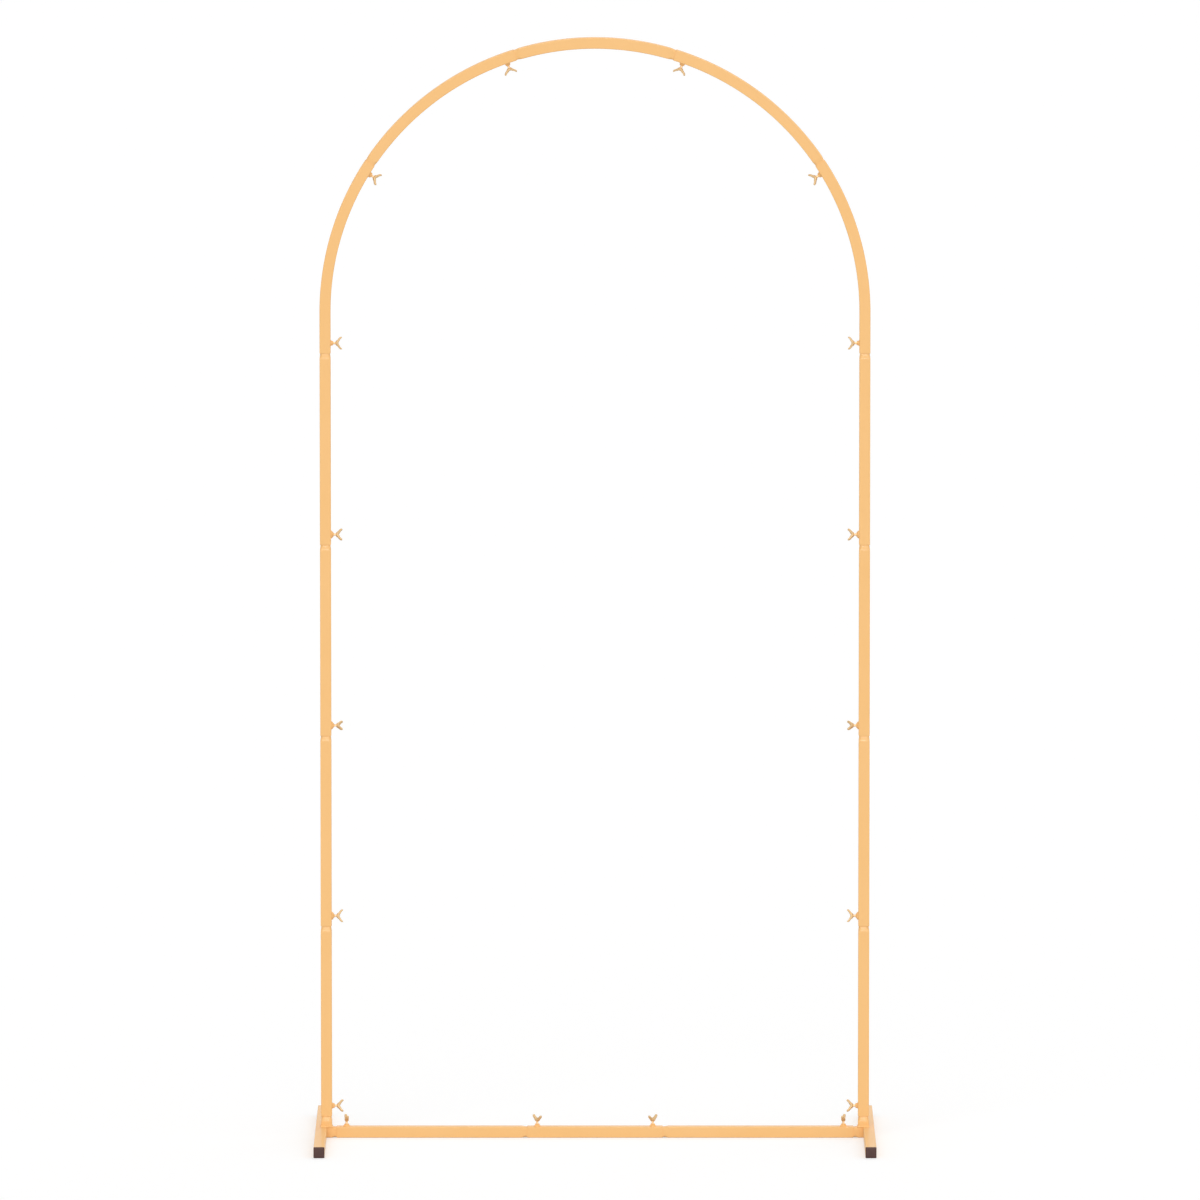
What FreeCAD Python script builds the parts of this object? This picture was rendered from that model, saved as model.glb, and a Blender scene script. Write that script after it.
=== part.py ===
import FreeCAD, Part
import math
import os

# Wedding arch: a free-standing frame of square steel tube. Short sections plug into each other,
# and a wing screw in a welded nut clamps each joint. Sizes are in millimetres.
# The origin is on the floor, midway between the posts. X runs across, Y front to back, Z up.

# Overall size
OUTER_HEIGHT = 2015.0  # floor to the outside of the crown
OUTER_WIDTH = 1000.0  # outside of one post to the outside of the other
FOOT_LENGTH = 500.0  # front to back, over the end caps

# Square tube
TUBE = 20.0
WALL = 0.8
CORNER_RADIUS = 1.5  # outside corner of the tube
CORNER_FLATS = 2  # flats that make up a round corner, few so that the curved tubes stay light

# Swaged joints
SPIGOT_LENGTH = 40.0  # what goes into the next section
SPIGOT_CLEARANCE = 0.15  # each side, between spigot and socket
SPIGOT_CORNER = 2.6  # outside corner of the swaged end
SHOULDER_LENGTH = 11.0  # swage from the tube down to the spigot
SHOULDER_STEPS = 3  # the swage's curve is this many straight tapers

# Sections
POST_SECTIONS = 4
POST_STUB_RISE = 20.0  # from the top of the foot to the first joint
ARC_TAIL = 75.0  # straight part of the lower arc, below the spring line
UPPER_ARC_ANGLE = 33.6  # joint of lower and upper arc, in degrees above the spring line
CROWN_ANGLE = 72.8  # joint of upper arc and crown
RAIL_STUB_LENGTH = 18.5  # from the foot's side to the first joint of the rail
MIDDLE_RAIL = 247.0

# Small round pieces, which are many, get few flats
ROUND_SIDES = 12  # shank and nut's bore
HUB_SIDES = 8
TIP_FLATS = 4

# Weld nuts
NUT_FLATS = 8.0
NUT_HEIGHT = 4.7
NUT_SEAT = 0.1  # film of weld between nut and tube
WELD_LEG = 1.8  # how far the weld spreads past the nut's corners
WELD_RISE = 2.2

# Wing screws
SCREW_DIAMETER = 5.0
SCREW_CLEARANCE = 0.1  # each side, in the nut and in the tube's wall
SCREW_FROM_RIM = 18.0  # from the female section's rim to the screw
TIP_GAP = 0.1  # screw tip to the spigot that it clamps
FREE_THREAD = 4.4  # bare shank between nut and hub
HUB_WIDTH = 6.6  # across its corners
HUB_HEIGHT = 4.0
WING_ANGLE = 52.0  # each wing, from the screw's axis
WING_LENGTH = 14.5
WING_WIDTH = 6.4
WING_ROOT_WIDTH = 4.8
WING_THICKNESS = 2.6
# How far each screw was left turned from the plane of the arch, in degrees
POST_TWISTS = (32.0, 15.0, 58.0, 36.0, 0.0)  # from the foot up
ARCH_TWISTS = (27.0, 12.0)  # lower and upper joint
RAIL_TWISTS = (80.0, 53.0)  # end and middle

# End caps of the feet
CAP_FLANGE = 2.0
CAP_DEPTH = 14.0  # what goes into the tube
CAP_CORE = 13.0  # width of the core that carries the fins
CAP_FINS = 2
CAP_FIN_THICKNESS = 1.2
CAP_CLEARANCE = 0.15  # fins to the tube's wall
CAP_EDGE = 0.6  # bevel round the flange

# Worked out from the sizes above
HALF = TUBE / 2
BORE = TUBE - 2 * WALL
SPIGOT = BORE - 2 * SPIGOT_CLEARANCE
POST_X = OUTER_WIDTH / 2 - HALF
FOOT_X = POST_X + HALF
ARC_RADIUS = POST_X
SPRING_Z = OUTER_HEIGHT - OUTER_WIDTH / 2
FIRST_SEAM_Z = TUBE + POST_STUB_RISE
ARC_SEAM_Z = SPRING_Z - ARC_TAIL
POST_LENGTH = (ARC_SEAM_Z - FIRST_SEAM_Z) / POST_SECTIONS
RAIL_END_X = POST_X - RAIL_STUB_LENGTH
RAIL_MIDDLE_X = MIDDLE_RAIL / 2
HOLE = SCREW_DIAMETER + 2 * SCREW_CLEARANCE
CUT_PAST = 1.0  # how far a cutting shape runs past what it cuts

X_AXIS = FreeCAD.Vector(1, 0, 0)
Y_AXIS = FreeCAD.Vector(0, 1, 0)
Z_AXIS = FreeCAD.Vector(0, 0, 1)
CENTRE = FreeCAD.Vector(0, 0, 0)

# Width and corner radius of each cross-section. The bore's corners are left square.
OUTSIDE = {"tube": (TUBE, CORNER_RADIUS), "spigot": (SPIGOT, SPIGOT_CORNER)}
INSIDE = {"tube": (BORE, 0.0), "spigot": (SPIGOT - 2 * WALL, 0.0)}


def square_wire(section, height=0.0):
    """Square centred on the Z axis. Its corners are square where the radius is 0, or else round."""
    side, corner = section
    centre = side / 2 - corner
    turns = range(CORNER_FLATS + 1) if corner else [0]
    points = []
    for quarter in range(4):
        turn = FreeCAD.Rotation(Z_AXIS, 90 * quarter)
        for step in turns:
            angle = math.radians(90 * step / CORNER_FLATS)
            x = centre + corner * math.cos(angle)
            y = centre + corner * math.sin(angle)
            points.append(turn.multVec(FreeCAD.Vector(x, y, height)))
    return Part.makePolygon(points + points[:1])


def prism(section, z0, z1):
    """Solid length of a square section."""
    return Part.Face(square_wire(section, z0)).extrude(FreeCAD.Vector(0, 0, z1 - z0))


def corners(face):
    """Points round a face with straight edges, back to the first."""
    points = [vertex.Point for vertex in face.OuterWire.OrderedVertexes]
    return points + points[:1]


def flat_sided(wires):
    """Solid through level polygons. Its sides are true planes, which take fewer triangles than a loft's."""
    loft = Part.makeLoft(wires, True, True)
    sides = [Part.Face(Part.makePolygon(corners(face))) for face in loft.Faces]
    return Part.Solid(Part.Shell(sides))


def swage(sections):
    """Cross-sections from the tube to the spigot, on an S-shaped curve, each with its share of the way."""
    tube, spigot = sections["tube"], sections["spigot"]
    stations = []
    for step in range(SHOULDER_STEPS + 1):
        share = step / SHOULDER_STEPS
        ease = (1 - math.cos(math.pi * share)) / 2
        section = tuple(a + (b - a) * ease for a, b in zip(tube, spigot))
        stations.append((share, section))
    return stations


def column(sections, length, male_end, past):
    """Outside or inside of a straight section: socket at the bottom, swaged end on top if male."""
    if not male_end:
        return prism(sections["tube"], -past, length + past)
    shoulder = length - SHOULDER_LENGTH
    body = prism(sections["tube"], -past, shoulder)
    wires = [square_wire(section, shoulder + share * SHOULDER_LENGTH) for share, section in swage(sections)]
    neck = flat_sided(wires)
    tongue = prism(sections["spigot"], length, length + SPIGOT_LENGTH + past)
    return body.fuse([neck, tongue])


def straight_section(length, male_end):
    """Tube along +Z from 0 to its upper joint, hollow from end to end."""
    tube = column(OUTSIDE, length, male_end, 0.0)
    tube = tube.cut(column(INSIDE, length, male_end, CUT_PAST))
    return tube.removeSplitter()


def swing(shape, angle):
    """Turns a shape about the arch's centre, from the +X side upwards."""
    turned = shape.copy()
    turned.rotate(CENTRE, -Y_AXIS, angle)
    return turned


def arc_wire(section, angle):
    """Cross-section of the curved tube at an angle above the spring line."""
    wire = square_wire(section)
    wire.translate(FreeCAD.Vector(ARC_RADIUS, 0, 0))
    return swing(wire, angle)


def arc_run(section, start, end):
    return Part.Face(arc_wire(section, start)).revolve(CENTRE, -Y_AXIS, end - start)


def arc_neck(sections, tube_end, spigot_end):
    """Swage of a curved tube, between two angles."""
    wires = []
    for share, section in swage(sections):
        wires.append(arc_wire(section, tube_end + (spigot_end - tube_end) * share))
    return Part.makeLoft(wires, True, True)


def angle_of(length):
    """Angle in degrees of a length along the tube's centre line."""
    return math.degrees(length / ARC_RADIUS)


def curve(sections, start, end, male_start, male_end, past):
    """Outside or inside of a curved section between two joints, each male or female."""
    first = start + angle_of(SHOULDER_LENGTH) if male_start else start - angle_of(past)
    last = end - angle_of(SHOULDER_LENGTH) if male_end else end + angle_of(past)
    pieces = [arc_run(sections["tube"], first, last)]
    reach = angle_of(SPIGOT_LENGTH + past)
    if male_start:
        pieces.append(arc_neck(sections, first, start))
        pieces.append(arc_run(sections["spigot"], start - reach, start))
    if male_end:
        pieces.append(arc_neck(sections, last, end))
        pieces.append(arc_run(sections["spigot"], end, end + reach))
    return pieces[0].fuse(pieces[1:]) if len(pieces) > 1 else pieces[0]


def curved_section(start, end, male_start, male_end):
    """Curved tube about the origin, in the XZ plane."""
    tube = curve(OUTSIDE, start, end, male_start, male_end, 0.0)
    tube = tube.cut(curve(INSIDE, start, end, male_start, male_end, CUT_PAST))
    return tube.removeSplitter()


def lower_arc():
    """Straight tail and curve in one tube, female at both ends."""
    reach = UPPER_ARC_ANGLE + angle_of(CUT_PAST)
    solids = []
    for section, past, end in ((OUTSIDE["tube"], 0.0, UPPER_ARC_ANGLE), (INSIDE["tube"], CUT_PAST, reach)):
        tail = prism(section, -ARC_TAIL - past, 0.0)
        tail.translate(FreeCAD.Vector(ARC_RADIUS, 0, 0))
        solids.append(tail.fuse(arc_run(section, 0.0, end)))
    return solids[0].cut(solids[1]).removeSplitter()


def seat(point, normal, along, twist=0.0):
    """Place of a nut or screw: its axis along the normal, its width along the tube."""
    across = normal.cross(along)
    turn = FreeCAD.Rotation(along, across, normal, "ZXY")
    return FreeCAD.Placement(point, turn.multiply(FreeCAD.Rotation(Z_AXIS, twist)))


def post_seat(seam_z, twist=0.0):
    """Inner side of the right post, above a joint."""
    return seat(FreeCAD.Vector(POST_X - HALF, 0, seam_z + SCREW_FROM_RIM), -X_AXIS, Z_AXIS, twist)


def arc_seat(seam_angle, twist=0.0):
    """Inner side of the right half of the arch, below a joint."""
    angle = math.radians(seam_angle - angle_of(SCREW_FROM_RIM))
    outward = FreeCAD.Vector(math.cos(angle), 0, math.sin(angle))
    along = FreeCAD.Vector(-math.sin(angle), 0, math.cos(angle))
    return seat(outward * (ARC_RADIUS - HALF) + Z_AXIS * SPRING_Z, -outward, along, twist)


def rail_seat(x, twist=0.0):
    """Top of the rail."""
    return seat(FreeCAD.Vector(x, 0, TUBE), Z_AXIS, X_AXIS, twist)


def placed(shape, placement):
    shape = shape.copy()
    shape.Placement = placement
    return shape


def mirrored(shape):
    """The same piece on the left side."""
    return shape.mirror(CENTRE, X_AXIS)


def moved(shape, x, y, z):
    shape = shape.copy()
    shape.translate(FreeCAD.Vector(x, y, z))
    return shape


def screw_hole():
    """Drill through the wall on the screw's side only."""
    return Part.makeCylinder(HOLE / 2, HALF + CUT_PAST, FreeCAD.Vector(0, 0, -HALF))


def drilled(tube, placement):
    return tube.cut(placed(screw_hole(), placement))


def even_polygon(sides, radius, height):
    """Regular polygon round the Z axis, by the radius to its corners."""
    points = []
    for side in range(sides + 1):
        turn = 2 * math.pi * side / sides
        points.append(FreeCAD.Vector(radius * math.cos(turn), radius * math.sin(turn), height))
    return Part.makePolygon(points)


def even_prism(sides, radius, z0, z1):
    return Part.Face(even_polygon(sides, radius, z0)).extrude(FreeCAD.Vector(0, 0, z1 - z0))


def weld_nut():
    """Hexagon nut on +Z, whose foot flares out as the weld that holds it to the tube."""
    radius = NUT_FLATS / math.sqrt(3)
    wires = [
        even_polygon(6, radius + WELD_LEG, NUT_SEAT),
        even_polygon(6, radius, NUT_SEAT + WELD_RISE),
        even_polygon(6, radius, NUT_HEIGHT),
    ]
    bore_radius = HOLE / 2 / math.cos(math.pi / ROUND_SIDES)
    bore = even_prism(ROUND_SIDES, bore_radius, -CUT_PAST, NUT_HEIGHT + CUT_PAST)
    return flat_sided(wires).cut(bore)


def wing(side):
    """One ear of the screw: a flat paddle with a round tip that leans out from the hub."""
    half = WING_WIDTH / 2
    root = WING_ROOT_WIDTH / 2
    points = [FreeCAD.Vector(0, -root, 0), FreeCAD.Vector(0, root, 0)]
    for step in range(TIP_FLATS + 1):
        turn = math.pi * step / TIP_FLATS
        points.append(FreeCAD.Vector(0, half * math.cos(turn), WING_LENGTH - half + half * math.sin(turn)))
    plate = Part.Face(Part.makePolygon(points + points[:1])).extrude(X_AXIS * WING_THICKNESS)
    plate.translate(FreeCAD.Vector(-WING_THICKNESS / 2, 0, 0))
    plate.rotate(CENTRE, Y_AXIS, side * WING_ANGLE)
    return plate


def wing_screw():
    """Wing screw on +Z, as it stands when it clamps the spigot."""
    tip = TIP_GAP - WALL - SPIGOT_CLEARANCE
    hub_base = NUT_HEIGHT + FREE_THREAD
    shank = even_prism(ROUND_SIDES, SCREW_DIAMETER / 2, tip, hub_base)
    hub = even_prism(HUB_SIDES, HUB_WIDTH / 2, hub_base, hub_base + HUB_HEIGHT)
    root = hub_base + HUB_HEIGHT / 2
    wings = [moved(wing(side), 0, 0, root) for side in (-1, 1)]
    return shank.fuse([hub] + wings).removeSplitter()


def end_cap():
    """Insert plug: its flange's outer face at the origin, its fins along +Y."""
    fin_section = (BORE - 2 * CAP_CLEARANCE, 0.0)
    outline = OUTSIDE["tube"]
    edge = (TUBE - 2 * CAP_EDGE, CORNER_RADIUS)
    wires = [square_wire(edge, 0.0), square_wire(outline, CAP_EDGE), square_wire(outline, CAP_FLANGE)]
    plug = flat_sided(wires)
    plug = plug.fuse(prism((CAP_CORE, 0.0), CAP_FLANGE, CAP_FLANGE + CAP_DEPTH))
    pitch = CAP_DEPTH / CAP_FINS
    for fin in range(CAP_FINS):
        top = CAP_FLANGE + pitch * (fin + 1)
        plug = plug.fuse(prism(fin_section, top - CAP_FIN_THICKNESS, top))
    plug = plug.removeSplitter()
    plug.rotate(CENTRE, X_AXIS, -90)
    return plug


def foot_tube():
    """Square tube along Y on the floor, between its two end caps."""
    length = FOOT_LENGTH - 2 * CAP_FLANGE
    tube = straight_section(length, False)
    tube.rotate(CENTRE, X_AXIS, -90)
    return moved(tube, FOOT_X, -length / 2, HALF)


def foot_end_caps():
    front = moved(end_cap(), FOOT_X, -FOOT_LENGTH / 2, HALF)
    back = front.mirror(CENTRE, Y_AXIS)
    return Part.makeCompound([front, back])


def post_stub():
    """Upright that stands half on the foot tube and half on the rail stub."""
    return moved(straight_section(POST_STUB_RISE, True), POST_X, 0, TUBE)


def along_rail(length, male_end, x, direction):
    """Straight section laid along the rail from x, towards +X or -X."""
    tube = straight_section(length, male_end)
    tube.rotate(CENTRE, Y_AXIS, 90 * direction)
    return moved(tube, x, 0, HALF)


def post(number):
    """Post section, counted from the foot up."""
    seam = FIRST_SEAM_Z + POST_LENGTH * number
    tube = moved(straight_section(POST_LENGTH, True), POST_X, 0, seam)
    return drilled(tube, post_seat(seam))


def right_side():
    """Every piece on the right of the middle, by the name that follows its side."""
    pieces = {
        "foot_tube": foot_tube(),
        "foot_end_caps": foot_end_caps(),
        "post_stub": post_stub(),
        "rail_stub": along_rail(RAIL_STUB_LENGTH, True, POST_X, -1),
    }
    for number in range(POST_SECTIONS):
        pieces["post_%d" % (number + 1)] = post(number)
    low = moved(lower_arc(), 0, 0, SPRING_Z)
    low = drilled(low, post_seat(ARC_SEAM_Z))
    pieces["lower_arc"] = drilled(low, arc_seat(UPPER_ARC_ANGLE))
    high = moved(curved_section(UPPER_ARC_ANGLE, CROWN_ANGLE, True, False), 0, 0, SPRING_Z)
    pieces["upper_arc"] = drilled(high, arc_seat(CROWN_ANGLE))
    rail = along_rail(RAIL_END_X - RAIL_MIDDLE_X, True, RAIL_END_X, -1)
    pieces["rail"] = drilled(rail, rail_seat(RAIL_END_X - SCREW_FROM_RIM))
    return pieces


def right_seats():
    """Where each nut and its screw sit on the right side, by the tube that they are on."""
    seams = [FIRST_SEAM_Z + POST_LENGTH * number for number in range(POST_SECTIONS + 1)]
    joints = (UPPER_ARC_ANGLE, CROWN_ANGLE)
    screws = (RAIL_END_X - SCREW_FROM_RIM, RAIL_MIDDLE_X - SCREW_FROM_RIM)
    return {
        "post": [post_seat(seam, twist) for seam, twist in zip(seams, POST_TWISTS)],
        "arch": [arc_seat(angle, twist) for angle, twist in zip(joints, ARCH_TWISTS)],
        "rail": [rail_seat(x, twist) for x, twist in zip(screws, RAIL_TWISTS)],
    }


def middle_rail():
    """Female at both ends, with a screw near each."""
    tube = along_rail(MIDDLE_RAIL, False, -RAIL_MIDDLE_X, 1)
    hole = placed(screw_hole(), rail_seat(RAIL_MIDDLE_X - SCREW_FROM_RIM))
    return tube.cut([hole, mirrored(hole)])


def build():
    nodes = {}
    for name, shape in right_side().items():
        nodes["right_" + name] = shape
        nodes["left_" + name] = mirrored(shape)
    crown = curved_section(CROWN_ANGLE, 180 - CROWN_ANGLE, True, True)
    nodes["crown_arc"] = moved(crown, 0, 0, SPRING_Z)
    nodes["middle_rail"] = middle_rail()
    nut = weld_nut()
    screw = wing_screw()
    for tube, seats in right_seats().items():
        nuts = [placed(nut, place) for place in seats]
        nodes[tube + "_weld_nuts"] = Part.makeCompound(nuts + [mirrored(shape) for shape in nuts])
        for number, place in enumerate(seats, 1):
            shape = placed(screw, place)
            nodes["right_%s_screw_%d" % (tube, number)] = shape
            nodes["left_%s_screw_%d" % (tube, number)] = mirrored(shape)
    return nodes


def main():
    os.makedirs("parts", exist_ok=True)
    for name, shape in build().items():
        shape.exportStep("parts/%s.step" % name)


main()
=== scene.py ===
import math
import random

import bmesh
import bpy
from mathutils import Matrix, Vector


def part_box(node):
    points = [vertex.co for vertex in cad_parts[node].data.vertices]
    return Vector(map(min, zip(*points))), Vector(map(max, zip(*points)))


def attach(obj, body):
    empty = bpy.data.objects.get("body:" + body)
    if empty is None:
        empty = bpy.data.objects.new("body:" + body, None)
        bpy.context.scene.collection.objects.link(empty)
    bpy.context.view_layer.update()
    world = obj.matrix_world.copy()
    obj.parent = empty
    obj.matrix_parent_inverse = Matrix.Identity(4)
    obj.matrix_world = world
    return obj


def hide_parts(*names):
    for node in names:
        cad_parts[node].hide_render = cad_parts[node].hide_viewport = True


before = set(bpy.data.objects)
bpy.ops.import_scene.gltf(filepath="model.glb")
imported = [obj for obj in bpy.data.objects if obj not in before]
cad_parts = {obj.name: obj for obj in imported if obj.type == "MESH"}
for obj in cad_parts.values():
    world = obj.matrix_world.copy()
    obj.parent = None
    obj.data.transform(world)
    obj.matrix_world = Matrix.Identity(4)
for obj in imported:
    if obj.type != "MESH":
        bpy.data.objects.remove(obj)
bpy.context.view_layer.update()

# Wedding arch: a gold frame of square steel tube in sections that plug together, clamped by wing screws.
# Everything is in metres. X runs across, Y front to back, Z up, and the origin is on the floor.
MM = 0.001

# Overall size, from the frame
OUTER_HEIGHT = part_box("crown_arc")[1].z
POST_LOW, POST_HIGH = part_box("right_post_1")
TUBE = POST_HIGH.x - POST_LOW.x
HALF = TUBE / 2
POST_X = POST_LOW.x + HALF
OUTER_WIDTH = 2 * POST_HIGH.x
FOOT_LOW, FOOT_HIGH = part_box("right_foot_tube")
FOOT_X = (FOOT_LOW.x + FOOT_HIGH.x) / 2
FOOT_HALF = FOOT_HIGH.y
FOOT_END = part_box("right_foot_end_caps")[1].y

# Tube
WALL = 0.8 * MM
CORNER_RADIUS = 1.5 * MM
CORNER_STEPS = 5
ARC_STEP = 6 * MM  # between cross-sections of the curved tubes
RIM_ROUND = 0.22 * MM  # paint rounds off the cut ends
RIM_STEPS = 2

# Swaged joints
SPIGOT = TUBE - 1.9 * MM  # width across the swaged end
SPIGOT_CORNER = 2.6 * MM
SPIGOT_LENGTH = 40 * MM
SHOULDER_LENGTH = 11 * MM
SHOULDER_STEPS = 10
SHOULDER_PILLOW = 2.4 * MM  # the corners are rounder by this much half way down the swage

# Route of each side, measured up the tube from the spring line of the arch
ARC_RADIUS = POST_X
SPRING_Z = OUTER_HEIGHT - OUTER_WIDTH / 2
FOOT_TOP = TUBE - SPRING_Z
FIRST_SEAM = POST_LOW.z - SPRING_Z
ARC_TAIL = 75 * MM
POST_SECTIONS = 4
POST_LENGTH = (-ARC_TAIL - FIRST_SEAM) / POST_SECTIONS
POST_SEAMS = [FIRST_SEAM + POST_LENGTH * number for number in range(POST_SECTIONS + 1)]
LOW_JOINT = math.radians(33.6) * ARC_RADIUS
HIGH_JOINT = math.radians(72.8) * ARC_RADIUS
ARCH_END = math.pi * ARC_RADIUS

# Route of the rail, measured from the foot's inner side towards the middle
RAIL_START = 18.5 * MM
MIDDLE_RAIL = 247 * MM
RAIL_MIDDLE = POST_X - MIDDLE_RAIL / 2

# Weld nuts, with heights measured from the face of the tube
NUT_FLATS = 8 * MM
NUT_SIDES = 6
NUT_CORNER = NUT_FLATS / math.sqrt(3)  # radius over the corners
NUT_HEIGHT = 4.7 * MM
NUT_CHAMFER = 0.8 * MM
NUT_CROWN = NUT_FLATS / 2 * 0.96  # radius of the crown inside the chamfer
NUT_BORE = 2.6 * MM  # radius
NUT_COUNTERSINK = 0.35 * MM
NUT_DOME = 0.15 * MM  # crown and foot fall back this much towards their edges
NUT_SEAT = 0.1 * MM  # the nut's foot stands this far off the tube
ROUND_STEPS = 24

# Weld beads
BEAD = 1.8 * MM  # radius
BEAD_RIPPLE = 0.035  # depth of the ripples, as a share of the radius
BEAD_UNEVEN = 0.05  # how much a ripple may be larger or smaller than usual, as a share of the radius
BEAD_END = 0.55  # an open bead thins to this share of its radius at its ends
BEAD_PITCH = 1.6 * MM
BEAD_STEPS = 5  # cross-sections to a ripple
BEAD_SIDES = 16
NUT_BEAD_INSET = 0.5 * MM  # the middle of the weld round a nut lies this far inside the nut's corners
# Radius of that weld: light where the nut shows bare, heavy where it is all but buried
NUT_BEADS = {
    "post": (1.5 * MM, 3.2 * MM, 3.2 * MM, 3.2 * MM, 1.5 * MM),  # from the foot up
    "arch": (1.6 * MM, 1.6 * MM),  # lower and upper joint
    "rail": (2.4 * MM, 2.1 * MM),  # end and middle
}
POST_BEAD_INSET = 0.5 * MM  # the middle of the bead round the post lies this far inside the post's faces
RAIL_BEAD_ENDS = (1.3 * BEAD, TUBE - BEAD)  # heights of the upright beads between rail and foot

# Wing screws, with heights measured from the face of the tube
SCREW_FROM_RIM = 18 * MM  # from the rim of a female end to its screw
THREAD_RADIUS = 2.5 * MM
THREAD_ROOT = 2.05 * MM
THREAD_PITCH = 0.8 * MM
THREAD_START = 1.1 * MM  # the thread starts this far beyond the tip, and is cut off there
THREAD_SPARE = 2  # pitches that it has over the screw's length, so that both ends can be cut
SAME_PLACE = 0.01 * MM  # points closer than this are made one
SCREW_TIP = -0.85 * MM
HUB_BASE = 8.5 * MM
HUB_HEIGHT = 6.0 * MM
HUB_MIDDLE = HUB_BASE + HUB_HEIGHT / 2
HUB_RADIUS = 4.6 * MM
HUB_TOP_RADIUS = 4.0 * MM
HUB_SIDES = 8
WING_ANGLE = math.radians(52)
WING_LEVELS = 2
WING_FACING = 0.5  # a wing grows from the hub's sides that face its way by more than this cosine
# Each wing from the hub outwards: distance from the hub's middle, how far it bows outwards there,
# width and thickness
WING_SECTIONS = (
    (4.8 * MM, 0.4 * MM, 6.2 * MM, 4.4 * MM),
    (7.8 * MM, 1.2 * MM, 5.6 * MM, 3.7 * MM),
    (11.2 * MM, 1.2 * MM, 5.4 * MM, 3.4 * MM),
    (14.4 * MM, 0.0, 4.4 * MM, 3.2 * MM),
)
# How far each screw was left turned from the plane of the arch
POST_TWISTS = [math.radians(turn) for turn in (32, 15, 58, 36, 0)]  # from the foot up
ARCH_TWISTS = [math.radians(turn) for turn in (27, 12)]  # lower and upper joint
RAIL_TWISTS = [math.radians(turn) for turn in (80, 53)]  # end and middle

# End caps of the feet
CAP_FLANGE = 2 * MM  # thickness of what shows
CAP_EDGE = 0.8 * MM  # rounding of its edge
CAP_FACE_DOME = 0.35 * MM  # its middle stands out this far
CAP_CORE = 13 * MM  # width across the core
CAP_CORE_LENGTH = 14 * MM
CAP_CORE_CORNER = 1.0 * MM
# Each cap from its face inwards: depth, width across and corner radius
CAP_SECTIONS = (
    (0.0, TUBE - 7 * MM, 2.0 * MM),
    (CAP_FACE_DOME * 0.3, TUBE - 2.6 * CAP_EDGE, 1.6 * MM),
    (CAP_FACE_DOME, TUBE - 1.2 * CAP_EDGE, 1.5 * MM),
    (CAP_FACE_DOME + 0.5 * CAP_EDGE, TUBE - 0.3 * CAP_EDGE, 1.5 * MM),
    (CAP_FACE_DOME + CAP_EDGE, TUBE, CORNER_RADIUS),
    (CAP_FLANGE, TUBE, CORNER_RADIUS),
    (CAP_FLANGE, CAP_CORE, CAP_CORE_CORNER),
    (CAP_FLANGE + CAP_CORE_LENGTH, CAP_CORE, CAP_CORE_CORNER),
)

MIRROR = Matrix.Scale(-1, 4, (1, 0, 0))
SMOOTH_ANGLE = math.radians(38)  # edges that turn more than this stay sharp

# Colours. Each finish drifts between two tones.
GOLD_TONES = ("#F9C27A", "#FDC987")
CAST_ZINC_TONES = ("#D5B483", "#DFBE90")
ROLLED_ZINC_TONES = ("#F8DFC0", "#FBE7CC")
PLASTIC_TONES = ("#452A24", "#55352E")
PAPER = "#DBDBDB"
WHITE = "#FFFFFF"

# Size in millimetres of what each finish shows
PAINT_CLOUD = 120
PAINT_SMUDGE = 22
ORANGE_PEEL = 2.5
ZINC_CLOUD = 6
ZINC_GRAIN = 0.6
PLASTIC_CLOUD = 9
SPARK_GRAIN = 0.5  # coarser than the real one, so that it shows close up

# Depth of its relief
PAINT_RELIEF = 0.05 * MM
ZINC_RELIEF = 0.05 * MM
PLASTIC_RELIEF = 0.04 * MM

# Camera, matched to the photograph
CAMERA_BACK = 30.0
CAMERA_HEIGHT = 4.695
CAMERA_SIDE = 0.0091  # the picture's middle lies this far to the right of the arch's
AIM_HEIGHT = 0.988
HALF_VIEW = 0.03609  # half the angle of view, in radians
SENSOR = 36.0  # millimetres

# Light
WORLD_LEVEL = 0.53  # of the surround's light on the object
FLOOR_SIZE = 400.0
FLOOR_DROP = 0.2 * MM  # the paper lies this far under the feet, clear of their faces
FLOOR_LIFT = 0.385  # glow that brings the lit paper up to the white of the page
# Each lamp: azimuth from straight in front, elevation and angular size in degrees, and strength
LAMPS = {
    "key": (-14, 42, 40, 0.23),
    "front": (4, 16, 50, 0.1),
    "fill": (50, 30, 60, 0.1),
    "back": (160, 45, 60, 0.15),
    "front_strip": (0, 3, 7, 0.08),
}


def colour(code):
    """Linear colour of an sRGB hex value."""
    channels = [int(code[place:place + 2], 16) / 255 for place in (1, 3, 5)]
    linear = [part / 12.92 if part <= 0.04045 else ((part + 0.055) / 1.055) ** 2.4 for part in channels]
    return (*linear, 1.0)


def per_metre(size_mm):
    """Scale of a pattern whose features have this size."""
    return 1000 / size_mm


def add(tree, kind, inputs=None, **settings):
    """Adds a shader node. An input is a value, or the socket that feeds it."""
    node = tree.nodes.new("ShaderNode" + kind)
    for name, value in settings.items():
        setattr(node, name, value)
    for name, value in (inputs or {}).items():
        if isinstance(value, bpy.types.NodeSocket):
            tree.links.new(value, node.inputs[name])
        else:
            node.inputs[name].default_value = value
    return node


def new_material(name):
    """Material without nodes."""
    material = bpy.data.materials.new(name)
    material.use_nodes = True
    material.node_tree.nodes.clear()
    return material


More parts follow.
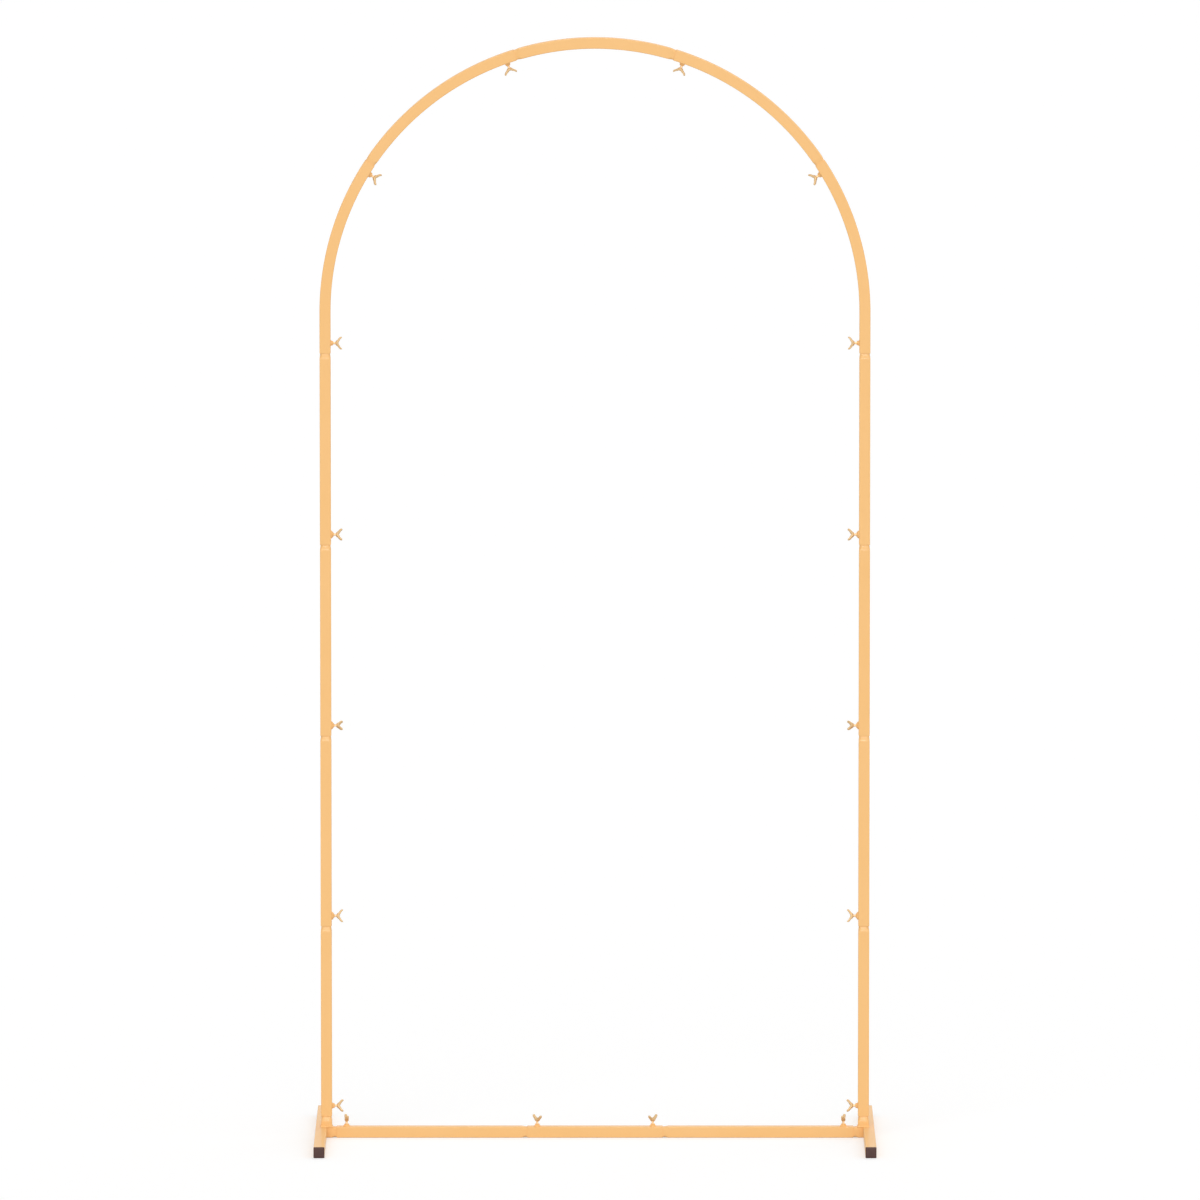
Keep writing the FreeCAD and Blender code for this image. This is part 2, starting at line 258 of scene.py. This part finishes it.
def clouded(tree, place, size_mm, tones):
    """Clouds of this size between two tones: how far between them each place is, and its colour."""
    noise = add(tree, "TexNoise", {"Vector": place, "Scale": per_metre(size_mm), "Detail": 3.0})
    cloud = noise.outputs["Fac"]
    # A Mix node's colours go in at sockets 6 and 7, and the mixed one comes out at 2
    tone = add(tree, "Mix", {0: cloud, 6: colour(tones[0]), 7: colour(tones[1])}, data_type="RGBA")
    return cloud, tone.outputs[2]


def relief(tree, place, size_mm, detail, strength, depth):
    """Normal of a surface with a fine relief of this size."""
    grain = add(tree, "TexNoise", {"Vector": place, "Scale": per_metre(size_mm), "Detail": detail})
    bump = add(tree, "Bump", {"Height": grain.outputs["Fac"], "Strength": strength, "Distance": depth})
    return bump.outputs["Normal"]


def gold_enamel():
    """Baked gold enamel on steel tube, sprayed: satin under a thin clear coat that shines at a low angle,
    with a faint orange peel and soft clouding."""
    material = new_material("gold_baked_enamel")
    tree = material.node_tree
    place = add(tree, "TexCoord").outputs["Object"]
    _, tone = clouded(tree, place, PAINT_CLOUD, GOLD_TONES)
    smudge = add(tree, "TexNoise", {"Vector": place, "Scale": per_metre(PAINT_SMUDGE), "Detail": 4.0})
    gloss = add(tree, "MapRange", {"Value": smudge.outputs["Fac"], "To Min": 0.14, "To Max": 0.22})
    peel = relief(tree, place, ORANGE_PEEL, detail=2.0, strength=0.1, depth=PAINT_RELIEF)
    paint = add(tree, "BsdfPrincipled", {
        "Base Color": tone,
        "Roughness": 0.5,
        "Specular IOR Level": 0.15,
        "Normal": peel,
        "Coat Weight": 0.28,
        "Coat Roughness": gloss.outputs["Result"],
        "Coat IOR": 1.5,
        "Coat Normal": peel,
    })
    add(tree, "OutputMaterial", {"Surface": paint.outputs["BSDF"]})
    return material


def yellow_zinc(name, tones, metallic, roughness, pebble):
    """Yellow-passivated zinc plate, a pale gold metal that varies a little, over the metal's own grain.
    The cast wings are dull and pebbled under a gold lacquer. The rolled thread is bright and smooth."""
    material = new_material(name)
    tree = material.node_tree
    place = add(tree, "TexCoord").outputs["Object"]
    cloud, tone = clouded(tree, place, ZINC_CLOUD, tones)
    low, high = roughness
    gloss = add(tree, "MapRange", {"Value": cloud, "To Min": low, "To Max": high})
    plate = add(tree, "BsdfPrincipled", {
        "Base Color": tone,
        "Metallic": metallic,
        "Roughness": gloss.outputs["Result"],
        "Normal": relief(tree, place, ZINC_GRAIN, detail=2.0, strength=pebble, depth=ZINC_RELIEF),
    })
    add(tree, "OutputMaterial", {"Surface": plate.outputs["BSDF"]})
    return material


def moulded_polyethylene():
    """Dark brown polyethylene, injection moulded: a soft sheen with a fine spark-eroded grain."""
    material = new_material("brown_polyethylene")
    tree = material.node_tree
    place = add(tree, "TexCoord").outputs["Object"]
    _, tone = clouded(tree, place, PLASTIC_CLOUD, PLASTIC_TONES)
    plastic = add(tree, "BsdfPrincipled", {
        "Base Color": tone,
        "Roughness": 0.42,
        "IOR": 1.4,
        "Normal": relief(tree, place, SPARK_GRAIN, detail=1.0, strength=0.4, depth=PLASTIC_RELIEF),
    })
    add(tree, "OutputMaterial", {"Surface": plastic.outputs["BSDF"]})
    return material


def seen(tree):
    """1 for rays that show the background, straight, mirrored or through something clear, else 0."""
    path = add(tree, "LightPath")
    share = path.outputs["Is Camera Ray"]
    for kind in ("Is Glossy Ray", "Is Transmission Ray"):
        share = add(tree, "Math", {0: share, 1: path.outputs[kind]}, operation="MAXIMUM").outputs[0]
    return share


def white_paper():
    """Matt white paper roll under the object, lifted to the white of the page where it is seen."""
    material = new_material("white_paper")
    tree = material.node_tree
    paper = add(tree, "BsdfDiffuse", {"Color": colour(PAPER)})
    amount = add(tree, "Math", {0: seen(tree), 1: FLOOR_LIFT}, operation="MULTIPLY")
    glow = add(tree, "Emission", {"Strength": amount.outputs[0]})
    both = add(tree, "AddShader", {0: paper.outputs[0], 1: glow.outputs[0]})
    add(tree, "OutputMaterial", {"Surface": both.outputs[0]})
    return material


def in_scene(name, data):
    """Object in the scene that holds this mesh, lamp or camera."""
    holder = bpy.data.objects.new(name, data)
    bpy.context.scene.collection.objects.link(holder)
    return holder


def finish_piece(name, bm, material, nodes=()):
    """Makes the mesh a piece of the object, smooth except at its sharp edges."""
    bmesh.ops.recalc_face_normals(bm, faces=bm.faces)
    mesh = bpy.data.meshes.new(name)
    bm.to_mesh(mesh)
    bm.free()
    mesh.shade_smooth()
    mesh.set_sharp_from_angle(angle=SMOOTH_ANGLE)
    mesh.materials.append(material)
    piece = in_scene(name, mesh)
    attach(piece, "root")
    if nodes:
        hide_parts(*nodes)
    return piece


def square_ring(bm, side, corner, place):
    """Edges of a square with round corners, set in place."""
    corners = bmesh.ops.create_grid(bm, x_segments=1, y_segments=1, size=side / 2)["verts"]
    rounded = bmesh.ops.bevel(
        bm, geom=corners, offset=corner, segments=CORNER_STEPS, profile=0.5, affect="VERTICES", material=-1
    )
    return placed_outline(bm, rounded["verts"][0].link_faces[0], place)


def round_ring(bm, radius, place, sides=ROUND_STEPS, cuts=0):
    """Edges of a circle, or of a polygon whose sides are cut up to match a circle's."""
    made = bmesh.ops.create_circle(bm, cap_ends=True, radius=radius, segments=sides)
    face = made["verts"][0].link_faces[0]
    if cuts:
        bmesh.ops.subdivide_edges(bm, edges=face.edges[:], cuts=cuts)
    return placed_outline(bm, face, place)


def placed_outline(bm, face, place):
    """Moves a face to its place and leaves only its edges."""
    bmesh.ops.transform(bm, matrix=place, verts=face.verts[:])
    edges = face.edges[:]
    bmesh.ops.delete(bm, geom=[face], context="FACES_ONLY")
    return edges


def skin(bm, rings, closed=False):
    """Faces between each ring and the next."""
    following = rings[1:] + rings[:1] if closed else rings[1:]
    for first, second in zip(rings, following):
        bmesh.ops.bridge_loops(bm, edges=first + second)


def cover(bm, *rings):
    """Closes the ends of a row of rings."""
    for edges in rings:
        bmesh.ops.edgeloop_fill(bm, edges=edges)


def up_the_side(distance):
    """Place on the right post and the arch: X outwards, Z along the tube."""
    if distance < 0:
        return Matrix.Translation((ARC_RADIUS, 0, SPRING_Z + distance))
    turn = Matrix.Rotation(-distance / ARC_RADIUS, 4, "Y")
    return Matrix.Translation((0, 0, SPRING_Z)) @ turn @ Matrix.Translation((ARC_RADIUS, 0, 0))


def along_the_rail(distance):
    """Place on the rail, from the right foot's inner side: Z along the tube."""
    return Matrix.Translation((POST_X - distance, 0, HALF)) @ Matrix.Rotation(-math.pi / 2, 4, "Y")


def along_the_foot(distance):
    """Place on the right foot, from the middle backwards: Z along the tube."""
    return Matrix.Translation((FOOT_X, distance, HALF)) @ Matrix.Rotation(-math.pi / 2, 4, "X")


def swage(joint, direction):
    """Stops down the shoulder of a male end to its tip, each with its share of the swage."""
    stops = []
    for step in range(SHOULDER_STEPS + 1):
        down = step / SHOULDER_STEPS
        share = (1 - math.cos(math.pi * down)) / 2
        stops.append((joint - direction * SHOULDER_LENGTH * (1 - down), share))
    stops.append((joint + direction * SPIGOT_LENGTH, 1.0))
    return stops


def tube_stops(first, last, male_first, male_last, curved):
    """Stops along a section from end to end."""
    start = swage(first, -1)[::-1] if male_first else [(first, 0.0)]
    end = swage(last, 1) if male_last else [(last, 0.0)]
    middle = []
    if curved:
        low, high = max(start[-1][0], -ARC_STEP), end[0][0]
        count = math.ceil((high - low) / ARC_STEP)
        middle = [(low + (high - low) * step / count, 0.0) for step in range(1, count)]
    return start + middle + end


def tube(name, node, route, first, last, male_first=False, male_last=False, side=Matrix(), curved=False):
    """One section of square tube, open at both ends, with its real wall."""
    bm = bmesh.new()
    rings = []
    for distance, share in tube_stops(first, last, male_first, male_last, curved):
        width = TUBE + (SPIGOT - TUBE) * share
        pillow = SHOULDER_PILLOW * 2 * math.sqrt(share * (1 - share))
        corner = CORNER_RADIUS + (SPIGOT_CORNER - CORNER_RADIUS) * share + pillow
        rings.append(square_ring(bm, width, corner, side @ route(distance)))
    skin(bm, rings)
    piece = finish_piece(name, bm, GOLD_ENAMEL, [node])
    wall = piece.modifiers.new("wall", "SOLIDIFY")
    wall.thickness = WALL
    wall.offset = -1
    wall.use_even_offset = True
    rim = piece.modifiers.new("rim", "BEVEL")
    rim.width = RIM_ROUND
    rim.segments = RIM_STEPS
    rim.limit_method = "ANGLE"
    rim.angle_limit = SMOOTH_ANGLE
    flat = piece.modifiers.new("flat_faces", "WEIGHTED_NORMAL")
    flat.keep_sharp = True


def side_tubes(hand, side):
    """Every tube on one side of the arch."""

    def section(name, node, route, first, last, **form):
        """One tube of this side, its names given without the side's."""
        tube(hand + name, hand + node, route, first, last, side=side, **form)

    section("_foot_bar", "_foot_tube", along_the_foot, -FOOT_HALF, FOOT_HALF)
    section("_post_socket", "_post_stub", up_the_side, FOOT_TOP, FIRST_SEAM, male_last=True)
    section("_rail_socket", "_rail_stub", along_the_rail, 0.0, RAIL_START, male_last=True)
    for number, (low, high) in enumerate(zip(POST_SEAMS, POST_SEAMS[1:]), 1):
        node = "_post_%d" % number
        section(node + "_section", node, up_the_side, low, high, male_last=True)
    section("_lower_bend", "_lower_arc", up_the_side, -ARC_TAIL, LOW_JOINT, curved=True)
    section("_upper_bend", "_upper_arc", up_the_side, LOW_JOINT, HIGH_JOINT, male_first=True, curved=True)
    section("_rail_bar", "_rail", along_the_rail, RAIL_START, RAIL_MIDDLE, male_last=True)


def middle_tubes():
    """The top of the arch and the middle of the rail, which the two sides share."""
    tube("crown_bend", "crown_arc", up_the_side, HIGH_JOINT, ARCH_END - HIGH_JOINT,
         male_first=True, male_last=True, curved=True)
    tube("middle_rail_bar", "middle_rail", along_the_rail, RAIL_MIDDLE, RAIL_MIDDLE + MIDDLE_RAIL)


def side_seat(distance, twist):
    """Seat on the inner face of the post or arch: Z out of the face, X along the tube before the twist."""
    face = up_the_side(distance) @ Matrix.Translation((-HALF, 0, 0))
    turn = Matrix(((0, 0, -1), (0, 1, 0), (1, 0, 0))).to_4x4()
    return face @ turn @ Matrix.Rotation(twist, 4, "Z")


def rail_seat(distance, twist):
    """Seat on top of the rail: Z up, X along the tube before the twist."""
    return Matrix.Translation((POST_X - distance, 0, TUBE)) @ Matrix.Rotation(twist, 4, "Z")


def seats():
    """Seats of the nuts and screws on the right side, by the tube that they are on."""
    post = zip(POST_SEAMS, POST_TWISTS)
    arch = zip((LOW_JOINT, HIGH_JOINT), ARCH_TWISTS)
    rail = zip((RAIL_START, RAIL_MIDDLE), RAIL_TWISTS)
    return {
        "post": [side_seat(joint + SCREW_FROM_RIM, twist) for joint, twist in post],
        "arch": [side_seat(joint - SCREW_FROM_RIM, twist) for joint, twist in arch],
        "rail": [rail_seat(joint + SCREW_FROM_RIM, twist) for joint, twist in rail],
    }


def left(seat):
    """The same seat on the left side, turned over so that a thread stays right-handed."""
    return MIRROR @ seat @ Matrix.Scale(-1, 4, (0, 1, 0))


def bead(bm, points, radius, closed=False):
    """Rippled weld bead along a run of points, no two ripples quite alike."""
    count = len(points)
    uneven = random.Random(count)
    swell = [uneven.uniform(-BEAD_UNEVEN, BEAD_UNEVEN) for _ in range(count // BEAD_STEPS + 1)]
    rings = []
    for number, point in enumerate(points):
        if closed:
            before, after = points[number - 1], points[(number + 1) % count]
        else:
            before, after = points[max(number - 1, 0)], points[min(number + 1, count - 1)]
        wave = math.cos(2 * math.pi * number / BEAD_STEPS)
        ripple = 1 + BEAD_RIPPLE * wave + swell[number // BEAD_STEPS] * (1 - wave) / 2
        at_end = not closed and number in (0, count - 1)
        size = radius * ripple * (BEAD_END if at_end else 1.0)
        turn = (after - before).to_track_quat("Z", "Y").to_matrix().to_4x4()
        rings.append(round_ring(bm, size, Matrix.Translation(point) @ turn, sides=BEAD_SIDES))
    skin(bm, rings, closed)
    if not closed:
        cover(bm, rings[0], rings[-1])


def run_of_points(corners):
    """Points along straight runs between corners, close enough for the ripples of a bead."""
    points = []
    for start, end in zip(corners, corners[1:]):
        count = max(1, round((end - start).length / BEAD_PITCH * BEAD_STEPS))
        points += [start.lerp(end, step / count) for step in range(count)]
    return points + [corners[-1]]


def ring_of_points(radius, place):
    """Points round a nut on the face of the tube, a whole number of ripples."""
    ripples = round(2 * math.pi * radius / BEAD_PITCH)
    count = ripples * BEAD_STEPS
    turns = [2 * math.pi * step / count for step in range(count)]
    return [place @ Vector((radius * math.cos(turn), radius * math.sin(turn), 0)) for turn in turns]


def nut(bm, place):
    """Hexagon nut with a chamfered crown and a threaded hole's mouth."""
    cuts = ROUND_STEPS // NUT_SIDES - 1

    def at(height):
        """Place at a height over the tube's face."""
        return place @ Matrix.Translation((0, 0, height))

    rings = [
        round_ring(bm, NUT_BORE, at(NUT_SEAT)),
        round_ring(bm, NUT_CORNER, at(NUT_SEAT + NUT_DOME), NUT_SIDES, cuts),
        round_ring(bm, NUT_CORNER, at(NUT_HEIGHT - NUT_CHAMFER), NUT_SIDES, cuts),
        round_ring(bm, NUT_CROWN, at(NUT_HEIGHT - NUT_DOME)),
        round_ring(bm, NUT_BORE + NUT_COUNTERSINK, at(NUT_HEIGHT)),
        round_ring(bm, NUT_BORE, at(NUT_HEIGHT - NUT_COUNTERSINK)),
    ]
    skin(bm, rings, closed=True)


def weld_nuts(run, places):
    """The nuts on one run of tube, each with the weld round its foot."""
    bm = bmesh.new()
    for place, radius in zip(places, NUT_BEADS[run]):
        for seat in (place, left(place)):
            nut(bm, seat)
            bead(bm, ring_of_points(NUT_CORNER - NUT_BEAD_INSET, seat), radius, closed=True)
    finish_piece(run + "_nuts", bm, GOLD_ENAMEL, [run + "_weld_nuts"])


def threaded_shank(bm):
    """Screw thread, spun from a zigzag that climbs one pitch in a turn, from its tip to inside the hub."""
    pitches = math.ceil((HUB_MIDDLE - SCREW_TIP) / THREAD_PITCH) + THREAD_SPARE
    bottom = SCREW_TIP - THREAD_START
    points = []
    for half_pitch in range(2 * pitches + 1):
        radius = THREAD_RADIUS if half_pitch % 2 else THREAD_ROOT
        points.append(bm.verts.new((radius, 0, bottom + half_pitch * THREAD_PITCH / 2)))
    edges = [bm.edges.new(pair) for pair in zip(points, points[1:])]
    # The spin's last points lie on its first ones, one pitch further up, so they are merged by place
    bmesh.ops.spin(
        bm, geom=points + edges, cent=(0, 0, 0), axis=(0, 0, 1), dvec=(0, 0, THREAD_PITCH / ROUND_STEPS),
        angle=2 * math.pi, steps=ROUND_STEPS, use_merge=False,
    )
    bmesh.ops.remove_doubles(bm, verts=bm.verts, dist=SAME_PLACE)
    for height, normal in ((SCREW_TIP, (0, 0, -1)), (HUB_MIDDLE, (0, 0, 1))):
        cut = bmesh.ops.bisect_plane(
            bm, geom=bm.verts[:] + bm.edges[:] + bm.faces[:], plane_co=(0, 0, height), plane_no=normal,
            clear_outer=True,
        )
        rim = [item for item in cut["geom_cut"] if isinstance(item, bmesh.types.BMEdge)]
        bmesh.ops.edgeloop_fill(bm, edges=rim)


def wing_cage(bm):
    """Hub with a wing drawn out of each side, to be rounded by subdivision."""
    middle = Matrix.Translation((0, 0, HUB_MIDDLE))
    bmesh.ops.create_cone(
        bm, cap_ends=True, segments=HUB_SIDES, depth=HUB_HEIGHT, radius1=HUB_RADIUS,
        radius2=HUB_TOP_RADIUS, matrix=middle @ Matrix.Rotation(math.pi / HUB_SIDES, 4, "Z"),
    )
    bm.normal_update()
    roots = {side: [face for face in bm.faces if face.normal.x * side > WING_FACING] for side in (-1, 1)}
    for side, faces in roots.items():
        lean = Matrix.Rotation(side * WING_ANGLE, 4, "Y")
        for distance, bow, width, thickness in WING_SECTIONS:
            drawn = bmesh.ops.extrude_face_region(bm, geom=faces)["geom"]
            bmesh.ops.delete(bm, geom=faces, context="FACES")
            faces = [item for item in drawn if isinstance(item, bmesh.types.BMFace)]
            verts = [item for item in drawn if isinstance(item, bmesh.types.BMVert)]
            along = Matrix.Translation((side * bow, 0, distance))
            shape_wing(bm, verts, middle @ lean, along, width, thickness)


def shape_wing(bm, verts, place, along, width, thickness):
    """Sets a drawn-out end square to the wing: two level rows of points, its upper and lower side."""
    bmesh.ops.transform(bm, matrix=place.inverted(), verts=verts)
    ordered = sorted(verts, key=lambda vert: vert.co.x)
    half = len(ordered) // 2
    for row, offset in ((ordered[:half], -thickness / 2), (ordered[half:], thickness / 2)):
        reach = max(vert.co.y for vert in row)
        bmesh.ops.scale(bm, vec=(0, width / 2 / reach, 0), verts=row)
        bmesh.ops.translate(bm, vec=(offset, 0, 0), verts=row)
    bmesh.ops.transform(bm, matrix=place @ along, verts=verts)


def rounded_wings():
    """Mesh of a hub with its two wings, rounded by subdivision."""
    cage = bmesh.new()
    wing_cage(cage)
    bmesh.ops.recalc_face_normals(cage, faces=cage.faces)
    mesh = bpy.data.meshes.new("wing_cage")
    cage.to_mesh(mesh)
    cage.free()
    model = in_scene("wing_cage", mesh)
    smooth = model.modifiers.new("smooth", "SUBSURF")
    smooth.levels = WING_LEVELS
    smooth.render_levels = WING_LEVELS
    rounded = bpy.data.meshes.new_from_object(model.evaluated_get(bpy.context.evaluated_depsgraph_get()))
    bpy.data.objects.remove(model)
    return rounded


def wing_screw(name, node, seat, wings):
    """A threaded shank with the wings on it, set in its seat."""
    bm = bmesh.new()
    threaded_shank(bm)
    for face in bm.faces:
        face.material_index = 1
    bm.from_mesh(wings)
    bmesh.ops.transform(bm, matrix=seat, verts=bm.verts)
    screw = finish_piece(name, bm, CAST_ZINC, [node])
    screw.data.materials.append(ROLLED_ZINC)


def wing_screws():
    """One piece for each screw, with the same wings in every seat."""
    wings = rounded_wings()
    for run, places in seats().items():
        for number, place in enumerate(places, 1):
            for hand, seat in (("right", place), ("left", left(place))):
                piece = "%s_%s_wing_screw_%d" % (hand, run, number)
                wing_screw(piece, "%s_%s_screw_%d" % (hand, run, number), seat, wings)


def foot_welds(hand, side):
    """Beads where the post and the rail meet the foot."""
    low, high = POST_X - HALF + POST_BEAD_INSET, POST_X + HALF - POST_BEAD_INSET
    deep = HALF - POST_BEAD_INSET
    corners = [(low, -deep), (high, -deep), (high, deep), (low, deep), (low, -deep)]
    round_post = run_of_points([side @ Vector((x, y, TUBE)) for x, y in corners])[:-1]
    bm = bmesh.new()
    bead(bm, round_post, BEAD, closed=True)
    for y in (-HALF, HALF):
        ends = [side @ Vector((POST_X, y, height)) for height in RAIL_BEAD_ENDS]
        bead(bm, run_of_points(ends), BEAD)
    finish_piece(hand + "_foot_welds", bm, GOLD_ENAMEL)


def plug(bm, place):
    """Square insert plug, its domed face towards -Z and its core inside the tube."""
    rings = []
    for depth, width, corner in CAP_SECTIONS:
        rings.append(square_ring(bm, width, corner, place @ Matrix.Translation((0, 0, depth))))
    skin(bm, rings)
    cover(bm, rings[0], rings[-1])


def foot_plugs(hand, side):
    """The plugs in both ends of one foot."""
    middle = side @ Matrix.Translation((FOOT_X, 0, 0))
    inwards = Matrix.Translation((0, -FOOT_END, HALF)) @ Matrix.Rotation(-math.pi / 2, 4, "X")
    bm = bmesh.new()
    for turn in (0, math.pi):
        plug(bm, middle @ Matrix.Rotation(turn, 4, "Z") @ inwards)
    finish_piece(hand + "_foot_plugs", bm, POLYETHYLENE, [hand + "_foot_end_caps"])


def paper_floor():
    """White paper under the feet, out of sight at its edges."""
    bm = bmesh.new()
    bmesh.ops.create_grid(bm, x_segments=1, y_segments=1, size=FLOOR_SIZE / 2)
    bmesh.ops.translate(bm, vec=(0, 0, -FLOOR_DROP), verts=bm.verts)
    mesh = bpy.data.meshes.new("floor")
    bm.to_mesh(mesh)
    bm.free()
    mesh.materials.append(white_paper())
    floor = in_scene("floor", mesh)


def lamps():
    """Plain soft lamps that light every place alike."""
    for name, (azimuth, elevation, spread, strength) in LAMPS.items():
        lamp = bpy.data.lights.new(name, "SUN")
        lamp.angle = math.radians(spread)
        lamp.energy = strength * math.pi
        in_scene(name, lamp).rotation_euler = (math.radians(90 - elevation), 0, math.radians(azimuth))


def surround():
    """Even light from all sides, with the white of the page where it is seen."""
    world = bpy.data.worlds.new("studio")
    world.use_nodes = True
    tree = world.node_tree
    tree.nodes.clear()
    even = add(tree, "Background", {"Color": colour(WHITE), "Strength": WORLD_LEVEL})
    page = add(tree, "Background", {"Color": colour(WHITE), "Strength": 1.0})
    both = add(tree, "MixShader", {0: seen(tree), 1: even.outputs[0], 2: page.outputs[0]})
    add(tree, "OutputWorld", {"Surface": both.outputs[0]})
    bpy.context.scene.world = world


def camera():
    """Far back and a little above, as the photograph was taken."""
    lens = bpy.data.cameras.new("camera")
    lens.sensor_width = SENSOR
    lens.lens = SENSOR / 2 / math.tan(HALF_VIEW)
    lens.clip_end = FLOOR_SIZE
    place = Vector((CAMERA_SIDE, -CAMERA_BACK, CAMERA_HEIGHT))
    aim = Vector((CAMERA_SIDE, 0, AIM_HEIGHT))
    turn = (aim - place).to_track_quat("-Z", "Y").to_matrix().to_4x4()
    holder = in_scene("camera", lens)
    holder.matrix_world = Matrix.Translation(place) @ turn
    bpy.context.scene.camera = holder


bpy.context.scene.view_settings.view_transform = "Standard"
GOLD_ENAMEL = gold_enamel()
CAST_ZINC = yellow_zinc(
    "yellow_zinc_casting", CAST_ZINC_TONES, metallic=0.6, roughness=(0.5, 0.62), pebble=0.8
)
ROLLED_ZINC = yellow_zinc(
    "yellow_zinc_thread", ROLLED_ZINC_TONES, metallic=1.0, roughness=(0.25, 0.35), pebble=0.1
)
POLYETHYLENE = moulded_polyethylene()

for hand, side in (("right", Matrix()), ("left", MIRROR)):
    side_tubes(hand, side)
    foot_welds(hand, side)
    foot_plugs(hand, side)
middle_tubes()
for run, places in seats().items():
    weld_nuts(run, places)
wing_screws()
paper_floor()
lamps()
surround()
camera()
